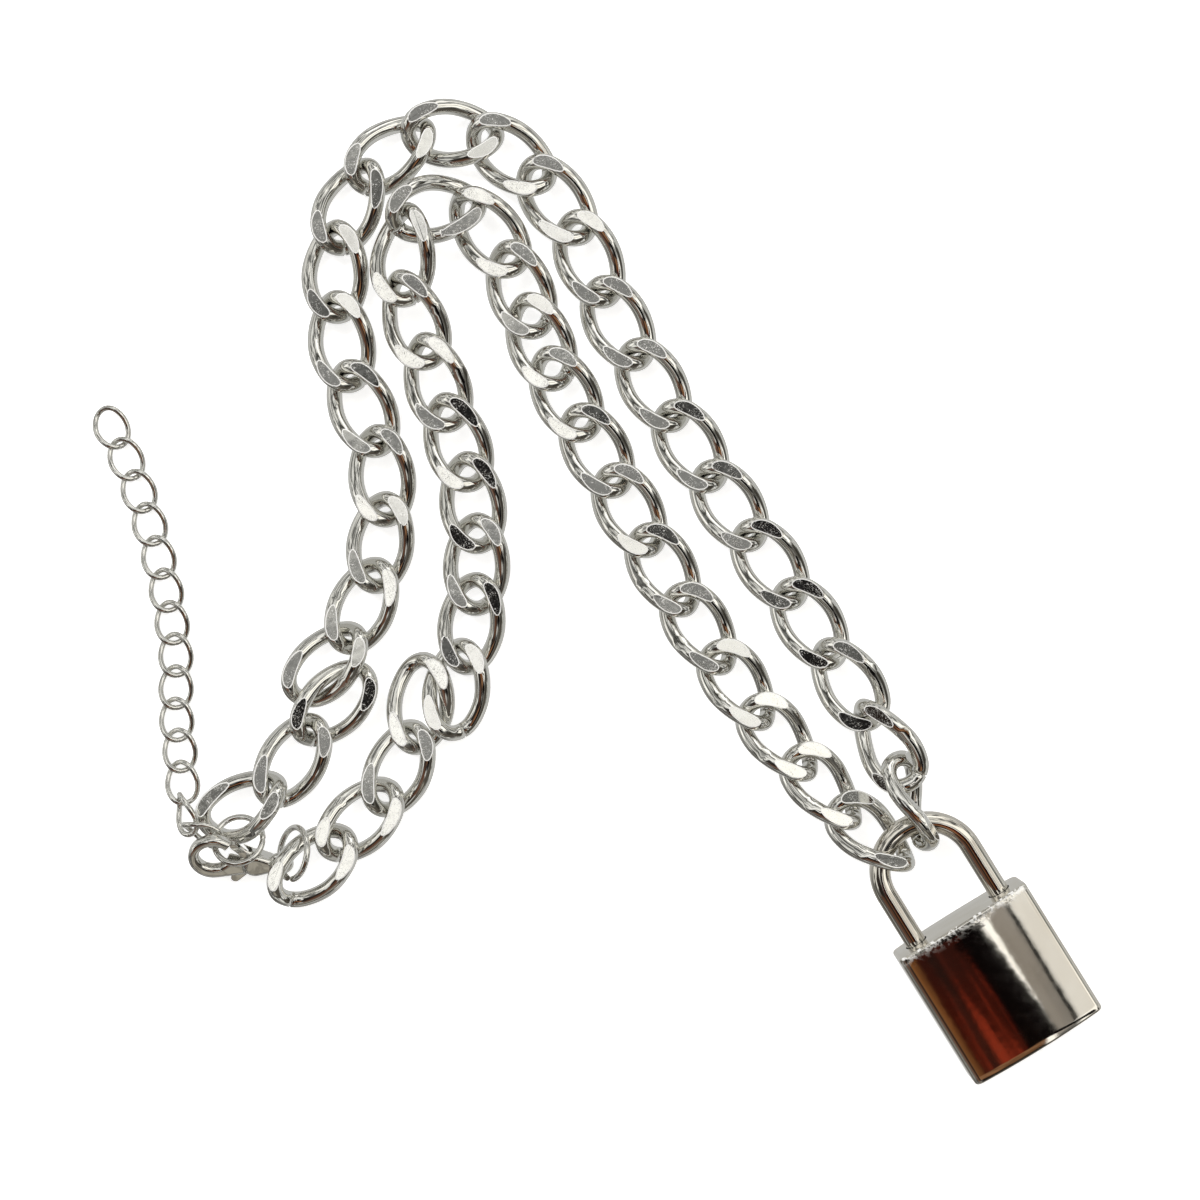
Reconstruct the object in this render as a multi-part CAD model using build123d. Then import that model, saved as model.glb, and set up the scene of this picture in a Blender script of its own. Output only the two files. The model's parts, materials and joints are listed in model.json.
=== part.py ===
from build123d import *
import os
from collections import namedtuple
from math import atan2, cos, degrees, pi, radians, sin, sqrt

import numpy as np

os.makedirs("parts", exist_ok=True)

# A curb-chain necklace lying on a flat surface, with a padlock on the last links of its two strands.
# Lengths are millimetres and angles degrees. X runs to the right and Y away from the reader, Z is up.

# Curb chain: outer length and width of a link, its wire, how its oval is turned about its length and
# how deep its flats are cut. The wire has eight sides.
CURB_LENGTH = 14.15
CURB_WIDTH = 9.25
CURB_WIRE = 2.2
CURB_TWIST = 35.0
CURB_CUT = 0.45
CURB_SIDES = 8
CURB_JOINT = 0.08

# Extender chain: the same kind of link, small and without flats
FINE_LENGTH = 6.35
FINE_WIDTH = 4.9
FINE_WIRE = 0.74
FINE_TWIST = 24.0
FINE_SIDES = 6
FINE_JOINT = 0.06

# Rings that join the chains to the clasp: outer diameter, wire and the opening between the wire's ends
RING_OUTER = 7.3
RING_WIRE = 0.8
RING_JOINT = 0.08
OPEN_RING_OUTER = 7.7
OPEN_RING_WIRE = 0.84
OPEN_RING_MOUTH = 1.1

# Padlock: body, and shackle with one long and one short leg
BODY_WIDTH = 19.5
BODY_HEIGHT = 19.5
BODY_DEPTH = 8.4
BODY_BULGE = 0.9
BODY_SIDE_ROUND = 1.5
BODY_EDGE_ROUND = 0.35
SHACKLE_WIRE = 2.8
SHACKLE_SPAN = 12.9
SHACKLE_RISE = 7.3
SHACKLE_LONG_SEAT = 9.0
SHACKLE_SHORT_SEAT = 3.4
SEAT_PLAY = 0.16
SEAT_BELOW = 0.6

# Lobster clasp, in its own plan: the hinge pin is the middle, the eye lies along +X, the hook along -X
CLASP_HOOK_X = -5.6
CLASP_HOOK_Y = 0.7
CLASP_HOOK_OUTER = 3.3
CLASP_HOOK_THICK = 1.7
CLASP_HOLE_LONG = 1.9
CLASP_HOLE_SHORT = 1.7
CLASP_HOLE_RISE = 0.2
CLASP_CHEEK_THICK = 2.5
CLASP_CHEEK_R = 1.7
CLASP_TAIL_R = 1.1
CLASP_TAIL_X = 1.7
CLASP_EYE_X = 3.3
CLASP_EYE_OUTER = 1.75
CLASP_EYE_WIRE = 1.0
CLASP_ROUND = 0.6
CLASP_CORNER = 0.5
LEVER_THICK = 0.8
LEVER_HUB_R = 1.0
LEVER_ARM_WIDTH = 0.9
LEVER_GATE = 4.5
LEVER_GATE_AT = 139.0
LEVER_THUMB = 4.2
LEVER_THUMB_AT = 225.0
LEVER_THUMB_R = 0.62
LEVER_OPENS = 16.0
LEVER_PLAY = 0.12
MOUTH_SPREAD = 13.0
PIN_R = 0.38
PIN_PLAY = 0.08

# Room that every two wires of the chains and rings keep
WIRE_GAP = 0.14

# Where the links lie. Lengths there are pitches, so that the lay-out follows the size of a link. A pitch
# is a link's inner length less the play that a chain has which isn't pulled tight.
CURB_PLAY = 0.45
CURB_PITCH = CURB_LENGTH - 2 * CURB_WIRE - CURB_PLAY
FINE_PLAY = 0.27
FINE_PITCH = FINE_LENGTH - 2 * FINE_WIRE - FINE_PLAY

# The routes: the number of a link, the place of its middle, and how far it is turned off the line of
# the chain, rolled about its length, tilted nose down and lifted. The links between two rows lie on one
# smooth curve.
Spot = namedtuple("Spot", "link x y turn roll tilt lift", defaults=(0.0, 0.0, 0.0, 0.0))
OUTER_ROUTE = [
    Spot(0, 4.44, -2.81, -8, 75, 0, 0.30),
    Spot(1, 4.08, -2.07, 2, -38, 6, 0.22),
    Spot(3, 3.03, -0.34),
    Spot(6, 1.30, 2.22),
    Spot(8, 0.25, 3.99),
    Spot(10, -0.64, 5.74),
    Spot(11, -1.31, 6.38),
    Spot(12, -2.08, 6.75),
    Spot(13, -3.01, 6.45),
    Spot(14, -3.61, 5.67),
    Spot(16, -3.73, 3.71),
    Spot(18, -3.13, 1.78),
    Spot(20, -3.43, -0.07),
    Spot(21, -3.96, -0.86, -37),
    Spot(22, -3.81, -1.55, -34),
    Spot(23, -4.38, -2.35, 12),
    Spot(24, -5.10, -2.92, -12, 15, 9, 0.05),
]
INNER_ROUTE = [
    Spot(1, 3.81, -3.27, 8, 32, 14, 0.22),
    Spot(2, 3.22, -2.69, -2, 27, 2, 0.14),
    Spot(4, 2.00, -1.25, 0, 12, 2, 0.06),
    Spot(6, 0.94, 0.41),
    Spot(8, -0.07, 2.20),
    Spot(10, -0.87, 3.71, -3, -9, 0, 0.05),
    Spot(11, -1.16, 4.44, -4, -9, 0, 0.06),
    Spot(12, -1.59, 5.26, -5, -13, -3, 0.09),
    Spot(13, -2.34, 5.61, -2, 0, -13, 0.14),
    Spot(14, -2.80, 4.91, 13, 17, 2, 0.14),
    Spot(16, -2.35, 3.11, 2, 11, 2, 0.06),
    Spot(18, -1.83, 1.41),
    Spot(20, -1.86, -0.38),
    Spot(21, -2.02, -1.28, 27),
    Spot(22, -2.61, -1.47, 34),
    Spot(23, -2.89, -2.41),
    Spot(25, -4.11, -3.83, -10, 0, 0, 0.10),
]

# The extender's route starts at the ring that carries it, in pitches of its own small links
FINE_ROUTE = [
    Spot(1, -0.97, 0.24, 26, 110, 5, 0.35),
    Spot(2, -1.62, 0.81, -5, -56, 0, 0.25),
    Spot(3, -1.80, 1.70, 0, -10),
    Spot(4, -1.88, 2.62),
    Spot(5, -1.98, 3.52),
    Spot(7, -2.00, 5.42),
    Spot(9, -2.28, 7.26),
    Spot(11, -2.77, 9.24),
    Spot(13, -3.46, 11.16),
    Spot(14, -3.90, 12.11),
]

# Where the padlock, the clasp and its rings lie, in pitches of the big chain, and how each is turned
Place = namedtuple("Place", "x y z heading roll tilt", defaults=(0.0, 0.0))
BOW_PLACE = Place(4.69, -3.859, 0.0, 31.8)
CLASP_PLACE = Place(-4.958, -3.775, 0.225, -4.0, 30.0, 9.0)
RING_PLACE = Place(-5.15, -3.47, 0.29, 0.0, -12.0, 6.0)
OPEN_RING_PLACE = Place(-4.39, -3.657, 0.37, 90.0, -50.0)

# How the chains are laid: each wire is drawn to its place while wires that meet push each other apart
LINE_POINTS = 32
SKIN_POINTS = 16
SETTLE_STEPS = 540
HOLD_STEPS = 220
HOLD_PLACE = 0.05
HOLD_TURN = 0.04
HOLD_HEIGHT = 0.03
GIVE_WAY = 1.1
NEAR_EVERY = 20
UNTURNED = np.eye(3)
UPWARDS = np.array([0.0, 0.0, 1.0])


def frame_of(heading, roll, tilt):
    """Turn of a piece: rolled about its length, tilted nose down, then turned to its heading."""
    h, r, t = radians(heading), radians(roll), radians(tilt)
    about_z = np.array([[cos(h), -sin(h), 0], [sin(h), cos(h), 0], [0, 0, 1]])
    about_y = np.array([[cos(t), 0, sin(t)], [0, 1, 0], [-sin(t), 0, cos(t)]])
    about_x = np.array([[1, 0, 0], [0, cos(r), -sin(r)], [0, sin(r), cos(r)]])
    return about_z @ about_y @ about_x


def cross(a, b):
    """Vector at right angles to two others."""
    return np.array([a[1] * b[2] - a[2] * b[1], a[2] * b[0] - a[0] * b[2], a[0] * b[1] - a[1] * b[0]])


def small_turn(spin):
    """Turn by the length of a vector about its direction."""
    angle = sqrt(spin @ spin)
    if angle < 1e-12:
        return UNTURNED
    x, y, z = spin / angle
    skew = np.array([[0, -z, y], [z, 0, -x], [-y, x, 0]])
    return UNTURNED + sin(angle) * skew + (1 - cos(angle)) * skew @ skew


def biarc_joint(start, leaving, end, arriving):
    """Point where two arcs meet that leave one point and reach another along given directions."""
    chord = end - start
    square = 2 * (leaving.dot(arriving) - 1)
    line = -2 * chord.dot(leaving + arriving)
    root = sqrt(line * line - 4 * square * chord.dot(chord))
    reach = max((-line - root) / (2 * square), (-line + root) / (2 * square))
    return (start + end + (leaving - arriving) * reach) * 0.5


def turned_arc(edge, x, y, z, backwards):
    """The same arc with the signs of its coordinates changed, and run the other way if asked."""
    points = [edge @ 0, edge @ 0.5, edge @ 1]
    if backwards:
        points.reverse()
    return Edge.make_three_point_arc(*[Vector(x * p.X, y * p.Y, z * p.Z) for p in points])


def twisted_oval(length, width, wire, twist, pitch):
    """Centreline of a link as eight arcs from one end round: an oval turned steadily about its length.

    The oval leans by the twist half a pitch from its middle, which is what lets flat links pass
    through each other. Its four quarters are the same two arcs turned half round its three axes.
    """
    half_length = (length - wire) / 2
    half_width = (width - wire) / 2
    rate = -radians(twist) / (pitch / 2)
    end = Vector(half_length, 0, 0)
    side = Vector(0, half_width, 0)
    end_way = Vector(0, cos(rate * half_length), sin(rate * half_length))
    side_way = Vector(-1, 0, -half_width * rate).normalized()
    joint = biarc_joint(end, end_way, side, side_way)
    near = Edge.make_tangent_arc(end, end_way, joint)
    far = Edge.make_tangent_arc(joint, near % 1, side)
    return [
        near,
        far,
        turned_arc(far, -1, 1, -1, True),
        turned_arc(near, -1, 1, -1, True),
        turned_arc(near, -1, -1, 1, False),
        turned_arc(far, -1, -1, 1, False),
        turned_arc(far, 1, -1, -1, True),
        turned_arc(near, 1, -1, -1, True),
    ]


def line_of(edges):
    """Closed centreline as evenly many points on each arc, for the laying out."""
    share = LINE_POINTS // len(edges)
    points = [edge @ (k / share) for edge in edges for k in range(share)]
    return np.array([[p.X, p.Y, p.Z] for p in points])


def ring_line(radius):
    """Closed centreline of a round ring."""
    angles = np.arange(LINE_POINTS) * 2 * pi / LINE_POINTS
    return np.column_stack([radius * np.cos(angles), radius * np.sin(angles), 0 * angles])


def outline_line(corners):
    """Closed line through corners in a plane, with points spread evenly along it."""
    loop = np.array(corners + corners[:1], float)
    steps = np.linalg.norm(np.diff(loop, axis=0), axis=1)
    passed = np.concatenate([[0], np.cumsum(steps)])
    at = np.arange(LINE_POINTS) * passed[-1] / LINE_POINTS
    return np.column_stack([np.interp(at, passed, loop[:, 0]), np.interp(at, passed, loop[:, 1]), 0 * at])


def skin_of(line, wire_r, half_height):
    """Points on the wire about a centreline, with the link's flats taken off."""
    way = np.roll(line, -1, 0) - np.roll(line, 1, 0)
    way /= np.linalg.norm(way, axis=1)[:, None]
    side = np.cross(way, [0.0, 0.0, 1.0])
    side /= np.linalg.norm(side, axis=1)[:, None]
    over = np.cross(side, way)
    angles = np.arange(SKIN_POINTS) * 2 * pi / SKIN_POINTS
    skin = np.vstack([line + wire_r * (cos(a) * side + sin(a) * over) for a in angles])
    skin[:, 2] = np.clip(skin[:, 2], -half_height, half_height)
    return skin


class Loop:
    """One closed wire while the necklace is laid out: its line, thickness, place and turn."""

    def __init__(self, name, line, wire, place, frame, half_height=None, held=False):
        self.name = name
        self.line = line
        self.wire_r = wire / 2
        self.place = np.array(place, float)
        self.frame = np.array(frame, float)
        self.drawn_place = self.place.copy()
        self.drawn_frame = self.frame.copy()
        self.held = held
        self.skin = skin_of(line, self.wire_r, half_height or wire)
        self.reach = np.linalg.norm(line, axis=1).max() + self.wire_r
        spread = (line * line).mean(axis=0)
        self.ease = 1 / (spread.sum() - spread + self.wire_r**2)

    def wire(self):
        """The centreline where the loop now lies."""
        return self.line @ self.frame.T + self.place

    def response(self, arm, push):
        """How the loop turns when it is pushed at a point, and how freely it gives way there."""
        if self.held:
            return np.zeros(3), 0.0
        moment = cross(arm, push)
        spin = self.frame @ (self.ease * (self.frame.T @ moment))
        return spin, 1 + moment @ spin

    def give(self, push, spin, amount):
        """Move and turn the loop by an amount."""
        if not self.held:
            self.place = self.place + amount * push
            self.frame = small_turn(amount * spin) @ self.frame

    def draw_back(self):
        """Ease the loop towards the place and turn that were chosen for it."""
        pull = np.array([HOLD_PLACE, HOLD_PLACE, HOLD_HEIGHT])
        self.place += pull * (self.drawn_place - self.place)
        off = self.drawn_frame @ self.frame.T
        spin = 0.5 * np.array([off[2, 1] - off[1, 2], off[0, 2] - off[2, 0], off[1, 0] - off[0, 1]])
        self.frame = small_turn(HOLD_TURN * spin) @ self.frame

    def stay_above(self):
        """Lift the loop where it dips below the surface it lies on."""
        heights = self.skin @ self.frame[2]
        lowest = heights.argmin()
        sunk = -(self.place[2] + heights[lowest])
        if sunk > 0:
            spin, freedom = self.response(self.frame @ self.skin[lowest], UPWARDS)
            self.give(UPWARDS, spin, sunk / freedom)


def nearest_points(first, second):
    """For pairs of closed wires: their smallest distance, and the point of each where it is."""
    u = np.roll(first, -1, 1) - first
    v = np.roll(second, -1, 1) - second
    across = second.transpose(0, 2, 1)
    along_v = v.transpose(0, 2, 1)
    uu = (u * u).sum(2)[:, :, None]
    vv = (v * v).sum(2)[:, None, :]
    uv = u @ along_v
    uw = (u * first).sum(2)[:, :, None] - u @ across
    vw = first @ along_v - (v * second).sum(2)[:, None, :]
    ww = (first * first).sum(2)[:, :, None] + (second * second).sum(2)[:, None, :] - 2 * first @ across
    s = np.clip((uv * vw - vv * uw) / np.maximum(uu * vv - uv * uv, 1e-9), 0, 1)
    t = np.clip((uv * s + vw) / vv, 0, 1)
    s = np.clip((uv * t - uw) / uu, 0, 1)
    t = np.clip((uv * s + vw) / vv, 0, 1)
    squares = ww + s * s * uu + t * t * vv + 2 * (s * uw - t * vw - s * t * uv)
    flat = squares.reshape(len(first), -1).argmin(1)
    i, j = np.divmod(flat, LINE_POINTS)
    pair = np.arange(len(first))
    here = first[pair, i] + s[pair, i, j][:, None] * u[pair, i]
    there = second[pair, j] + t[pair, i, j][:, None] * v[pair, j]
    return np.linalg.norm(here - there, axis=1), here, there


def near_pairs(loops):
    """Pairs of loops that are close enough to meet, apart from two held ones."""
    pairs = []
    for i, one in enumerate(loops):
        for k in range(i + 1, len(loops)):
            other = loops[k]
            close = np.linalg.norm(one.place - other.place) < one.reach + other.reach + WIRE_GAP
            if close and not (one.held and other.held):
                pairs.append((i, k))
    return np.array(pairs)


def settle(loops):
    """Lay the loops down: each keeps near its chosen place while wires that meet are pushed apart."""
    for step in range(SETTLE_STEPS):
        if step % NEAR_EVERY == 0:
            pairs = near_pairs(loops)
            least = np.array([loops[i].wire_r + loops[k].wire_r for i, k in pairs])
        wires = np.array([loop.wire() for loop in loops])
        distances, here, there = nearest_points(wires[pairs[:, 0]], wires[pairs[:, 1]])
        gaps = distances - least
        for k in np.nonzero(gaps < WIRE_GAP)[0]:
            one, other = loops[pairs[k, 0]], loops[pairs[k, 1]]
            push = (here[k] - there[k]) / distances[k]
            spin_one, free_one = one.response(here[k] - one.place, push)
            spin_other, free_other = other.response(there[k] - other.place, push)
            amount = GIVE_WAY * (WIRE_GAP - gaps[k]) / (free_one + free_other)
            one.give(push, spin_one, amount)
            other.give(push, spin_other, -amount)
        for loop in loops:
            if loop.held:
                continue
            if step < HOLD_STEPS:
                loop.draw_back()
            loop.stay_above()
    print("closest wires after laying out:", round(float(gaps.min()), 3))


def along(rows, number):
    """Place and turn of one link, read off the smooth curve through the rows of a route."""
    numbers = np.array([row.link for row in rows], float)
    points = np.array([[row.x, row.y] for row in rows])
    slopes = np.gradient(points, numbers, axis=0)
    after = min(int(np.searchsorted(numbers, number, side="right")), len(rows) - 1)
    before = after - 1
    span = numbers[after] - numbers[before]
    t = (number - numbers[before]) / span
    place = (
        (2 * t**3 - 3 * t**2 + 1) * points[before]
        + (t**3 - 2 * t**2 + t) * span * slopes[before]
        + (3 * t**2 - 2 * t**3) * points[after]
        + (t**3 - t**2) * span * slopes[after]
    )
    way = (
        (6 * t**2 - 6 * t) * (points[before] - points[after])
        + (3 * t**2 - 4 * t + 1) * span * slopes[before]
        + (3 * t**2 - 2 * t) * span * slopes[after]
    )
    turn, roll, tilt, lift = [(1 - t) * a + t * b for a, b in zip(rows[before][3:], rows[after][3:])]
    return place, degrees(atan2(way[1], way[0])) + turn, roll, tilt, lift


def chain_loops(name, rows, pitch, start, line, wire, half_height):
    """Loops of one chain, one for each link number of its route."""
    loops = []
    for number in range(rows[0].link, rows[-1].link + 1):
        place, heading, roll, tilt, lift = along(rows, number)
        spot = [start[0] + place[0] * pitch, start[1] + place[1] * pitch, half_height + lift * pitch]
        frame = frame_of(heading, roll, tilt)
        loops.append(Loop(f"{name}_{number}", line, wire, spot, frame, half_height))
    return loops


def spot_of(place):
    """Middle of a placed piece in millimetres."""
    return np.array([place.x, place.y, place.z]) * CURB_PITCH


def turn_of(place):
    """Turn of a placed piece."""
    return frame_of(place.heading, place.roll, place.tilt)


def location_of(middle, frame):
    """Where a solid goes that was modelled about its own middle."""
    return Location(Plane(origin=tuple(middle), x_dir=tuple(frame[:, 0]), z_dir=tuple(frame[:, 2])))


def link_solid(edges, wire, sides, joint):
    """A link of wire bent along its arcs, with its ends butted together."""
    first = edges[0].trim(joint / 2 / edges[0].length, 1)
    last = edges[-1].trim(0, 1 - joint / 2 / edges[-1].length)
    path = Wire([first] + edges[1:-1] + [last])
    profile = Plane(origin=path @ 0, x_dir=(1, 0, 0), z_dir=path % 0) * RegularPolygon(
        wire / 2, sides, rotation=180 / sides
    )
    return sweep(profile, path=path).solids()[0]


def ring_solid(outer, wire, mouth):
    """A round ring of wire whose two ends face each other across its mouth, on -X."""
    middle = (outer - wire) / 2
    open_angle = degrees(mouth / middle)
    profile = Plane.XZ * Pos(middle, 0) * Circle(wire / 2)
    ring = revolve(profile, axis=Axis.Z, revolution_arc=360 - open_angle)
    return ring.rotate(Axis.Z, 180 + open_angle / 2).solids()[0]


def padlock_body():
    """Body of the padlock, standing on its foot: bulged front and back, rounded sides, two leg holes."""
    half_width = BODY_WIDTH / 2
    half_depth = BODY_DEPTH / 2
    shoulder = half_depth - BODY_BULGE
    front = ThreePointArc((-half_width, shoulder), (0, half_depth), (half_width, shoulder))
    right = Line((half_width, shoulder), (half_width, -shoulder))
    back = ThreePointArc((half_width, -shoulder), (0, -half_depth), (-half_width, -shoulder))
    left = Line((-half_width, -shoulder), (-half_width, shoulder))
    section = make_face([front, right, back, left])
    section = fillet(section.vertices(), BODY_SIDE_ROUND)
    body = extrude(section, BODY_HEIGHT)
    levels = body.edges().group_by(Axis.Z)
    body = fillet(levels[0] + levels[-1], BODY_EDGE_ROUND)
    hole_r = SHACKLE_WIRE / 2 + SEAT_PLAY
    for side, seat in ((-1, SHACKLE_LONG_SEAT), (1, SHACKLE_SHORT_SEAT)):
        depth = seat + SEAT_BELOW
        hole = Cylinder(hole_r, depth, align=(Align.CENTER, Align.CENTER, Align.MAX))
        body = body - Pos(side * SHACKLE_SPAN / 2, 0, BODY_HEIGHT) * hole
    return body.solids()[0]


def shackle():
    """Shackle over the same foot: a half round bow on a long and a short leg."""
    half_span = SHACKLE_SPAN / 2
    bow = BODY_HEIGHT + SHACKLE_RISE
    path = Wire(
        [
            Edge.make_line((-half_span, 0, BODY_HEIGHT - SHACKLE_LONG_SEAT), (-half_span, 0, bow)),
            Edge.make_three_point_arc((-half_span, 0, bow), (0, 0, bow + half_span), (half_span, 0, bow)),
            Edge.make_line((half_span, 0, bow), (half_span, 0, BODY_HEIGHT - SHACKLE_SHORT_SEAT)),
        ]
    )
    profile = Plane(origin=path @ 0, z_dir=path % 0) * Circle(SHACKLE_WIRE / 2)
    return sweep(profile, path=path).solids()[0]


def shackle_line():
    """Closed line that the laying out sees for the shackle, about the middle of its bow."""
    half_span = SHACKLE_SPAN / 2
    bow = [(half_span * cos(a), half_span * sin(a)) for a in np.linspace(0, pi, LINE_POINTS // 2)]
    drop = SHACKLE_RISE + SHACKLE_SHORT_SEAT
    return outline_line(bow + [(-half_span, -drop), (half_span, -drop)])


def around_pin(angle, reach):
    """Point of the clasp's plan at a direction and distance from its hinge pin."""
    return (reach * cos(radians(angle)), reach * sin(radians(angle)))


def slab(face, thick):
    """A flat face given its thickness to both sides."""
    return extrude(face, thick / 2, both=True)


def round_bar(first, first_r, second, second_r, thick):
    """Flat bar with two round ends."""
    ends = Pos(*first) * Circle(first_r).edge(), Pos(*second) * Circle(second_r).edge()
    return slab(make_hull(ends), thick)


def wedge(start, end, reach, thick):
    """Part of a disc about the hinge pin, between two directions."""
    directions = (start, (start + end) / 2, end)
    corners = [(0, 0)] + [around_pin(direction, 2 * reach) for direction in directions]
    return Cylinder(reach, thick) & slab(make_face(Polyline(*corners, close=True)), thick)


def rounded(bar):
    """A flat bar with the rims of its two faces rounded."""
    levels = bar.edges().group_by(Axis.Z)
    return fillet(levels[0] + levels[-1], CLASP_ROUND)


def clasp_body():
    """Lobster clasp about its hinge pin: an open hook, cheeks about the lever, an eye and the pin."""
    hook_at = (CLASP_HOOK_X, CLASP_HOOK_Y)
    tail_at = (CLASP_TAIL_X, 0)
    hook = round_bar(hook_at, CLASP_HOOK_OUTER, tail_at, CLASP_TAIL_R, CLASP_HOOK_THICK)
    hole = Pos(CLASP_HOOK_X, CLASP_HOOK_Y + CLASP_HOLE_RISE) * Ellipse(CLASP_HOLE_LONG, CLASP_HOLE_SHORT)
    hook = rounded(hook - slab(hole, CLASP_HOOK_THICK))
    mouth_reach = LEVER_GATE + LEVER_PLAY
    swept_to = LEVER_GATE_AT + LEVER_OPENS
    hook = hook - wedge(LEVER_GATE_AT - MOUTH_SPREAD, swept_to + MOUTH_SPREAD, mouth_reach, CLASP_HOOK_THICK)
    cheeks = rounded(round_bar((0, 0), CLASP_CHEEK_R, tail_at, CLASP_TAIL_R, CLASP_CHEEK_THICK))
    eye = Pos(CLASP_EYE_X, 0, 0) * Torus(CLASP_EYE_OUTER - CLASP_EYE_WIRE / 2, CLASP_EYE_WIRE / 2)
    body = hook + cheeks
    body = body - Pos(CLASP_EYE_X, 0, 0) * Cylinder(CLASP_EYE_OUTER - CLASP_EYE_WIRE / 2, CLASP_CHEEK_THICK)
    body = body + eye
    slot_thick = LEVER_THICK + 2 * LEVER_PLAY
    margin = degrees((LEVER_ARM_WIDTH / 2 + LEVER_PLAY) / LEVER_HUB_R)
    slot = Cylinder(LEVER_HUB_R + LEVER_PLAY, slot_thick)
    for at in (LEVER_GATE_AT, LEVER_THUMB_AT):
        slot = slot + wedge(at - margin, at + LEVER_OPENS + margin, mouth_reach, slot_thick)
    body = body - slot
    body = body + Cylinder(PIN_R, CLASP_CHEEK_THICK - LEVER_PLAY)
    return body.solids()[0]


def clasp_lever():
    """Lever of the clasp: hub on the pin, gate that meets the tip of the hook, and thumb piece."""
    half_arm = LEVER_ARM_WIDTH / 2
    gate_tip = around_pin(LEVER_GATE_AT, LEVER_GATE - half_arm)
    thumb_tip = around_pin(LEVER_THUMB_AT, LEVER_THUMB - LEVER_THUMB_R)
    lever = Cylinder(LEVER_HUB_R, LEVER_THICK)
    lever = lever + round_bar((0, 0), half_arm, gate_tip, half_arm, LEVER_THICK)
    lever = lever + round_bar((0, 0), half_arm, thumb_tip, LEVER_THUMB_R, LEVER_THICK)
    lever = lever - Cylinder(PIN_R + PIN_PLAY, LEVER_THICK)
    return lever.solids()[0]


def clasp_loops():
    """What the laying out sees of the clasp: its hook, cheeks and eye, and where the gate sweeps.

    The cheeks count as thicker than they are, since a round wire stands in for their corners.
    """
    middle = spot_of(CLASP_PLACE)
    frame = turn_of(CLASP_PLACE)
    cheek_line = outline_line([(-1.0, 0.0), (0.0, 1.0), (1.0, 0.0), (0.0, -1.0)])
    cheek_line = cheek_line * (CLASP_CHEEK_R - CLASP_CHEEK_THICK / 2)
    sweep_line = outline_line(
        [
            around_pin(LEVER_GATE_AT, LEVER_GATE - LEVER_ARM_WIDTH / 2),
            around_pin(LEVER_GATE_AT + LEVER_OPENS, LEVER_GATE - LEVER_ARM_WIDTH / 2),
            (0.0, 0.0),
        ]
    )
    hook_line = ring_line(CLASP_HOOK_OUTER - CLASP_HOOK_THICK / 2)
    shapes = [
        ("hook", (CLASP_HOOK_X, CLASP_HOOK_Y), hook_line, CLASP_HOOK_THICK),
        ("cheeks", (0.0, 0.0), cheek_line, CLASP_CHEEK_THICK + CLASP_CORNER),
        ("gate", (0.0, 0.0), sweep_line, LEVER_ARM_WIDTH),
        ("eye", (CLASP_EYE_X, 0.0), ring_line(CLASP_EYE_OUTER - CLASP_EYE_WIRE / 2), CLASP_EYE_WIRE),
    ]
    return [
        Loop(name, line, wire, middle + frame @ np.array([x, y, 0.0]), frame, held=True)
        for name, (x, y), line, wire in shapes
    ]


# Centrelines of the two kinds of link, and the height to which each reaches from its middle
curb_edges = twisted_oval(CURB_LENGTH, CURB_WIDTH, CURB_WIRE, CURB_TWIST, CURB_PITCH)
fine_edges = twisted_oval(FINE_LENGTH, FINE_WIDTH, FINE_WIRE, FINE_TWIST, FINE_PITCH)
curb_line = line_of(curb_edges)
fine_line = line_of(fine_edges)
curb_half = curb_line[:, 2].max() + CURB_WIRE / 2 - CURB_CUT
fine_half = fine_line[:, 2].max() + FINE_WIRE / 2

# Lay the chains and rings about the padlock's shackle and the clasp, which lie still
bow_middle = spot_of(BOW_PLACE) + [0, 0, BODY_DEPTH / 2]
ring_middle = spot_of(RING_PLACE)
outer_links = chain_loops("outer", OUTER_ROUTE, CURB_PITCH, (0, 0), curb_line, CURB_WIRE, curb_half)
inner_links = chain_loops("inner", INNER_ROUTE, CURB_PITCH, (0, 0), curb_line, CURB_WIRE, curb_half)
fine_links = chain_loops("fine", FINE_ROUTE, FINE_PITCH, ring_middle, fine_line, FINE_WIRE, fine_half)
ring = Loop("ring", ring_line((RING_OUTER - RING_WIRE) / 2), RING_WIRE, ring_middle, turn_of(RING_PLACE))
open_ring = Loop(
    "open_ring",
    ring_line((OPEN_RING_OUTER - OPEN_RING_WIRE) / 2),
    OPEN_RING_WIRE,
    spot_of(OPEN_RING_PLACE),
    turn_of(OPEN_RING_PLACE),
)
bow = Loop("bow", shackle_line(), SHACKLE_WIRE, bow_middle, turn_of(BOW_PLACE), held=True)
loops = outer_links + inner_links + fine_links + [ring, open_ring, bow] + clasp_loops()
settle(loops)

# The solids, each modelled about its own middle
curb_link = link_solid(curb_edges, CURB_WIRE, CURB_SIDES, CURB_JOINT)
curb_link = (curb_link & Box(2 * CURB_LENGTH, 2 * CURB_WIDTH, 2 * curb_half)).solids()[0]
fine_link = link_solid(fine_edges, FINE_WIRE, FINE_SIDES, FINE_JOINT)
ring_shape = ring_solid(RING_OUTER, RING_WIRE, RING_JOINT)
open_ring_shape = ring_solid(OPEN_RING_OUTER, OPEN_RING_WIRE, OPEN_RING_MOUTH)

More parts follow.
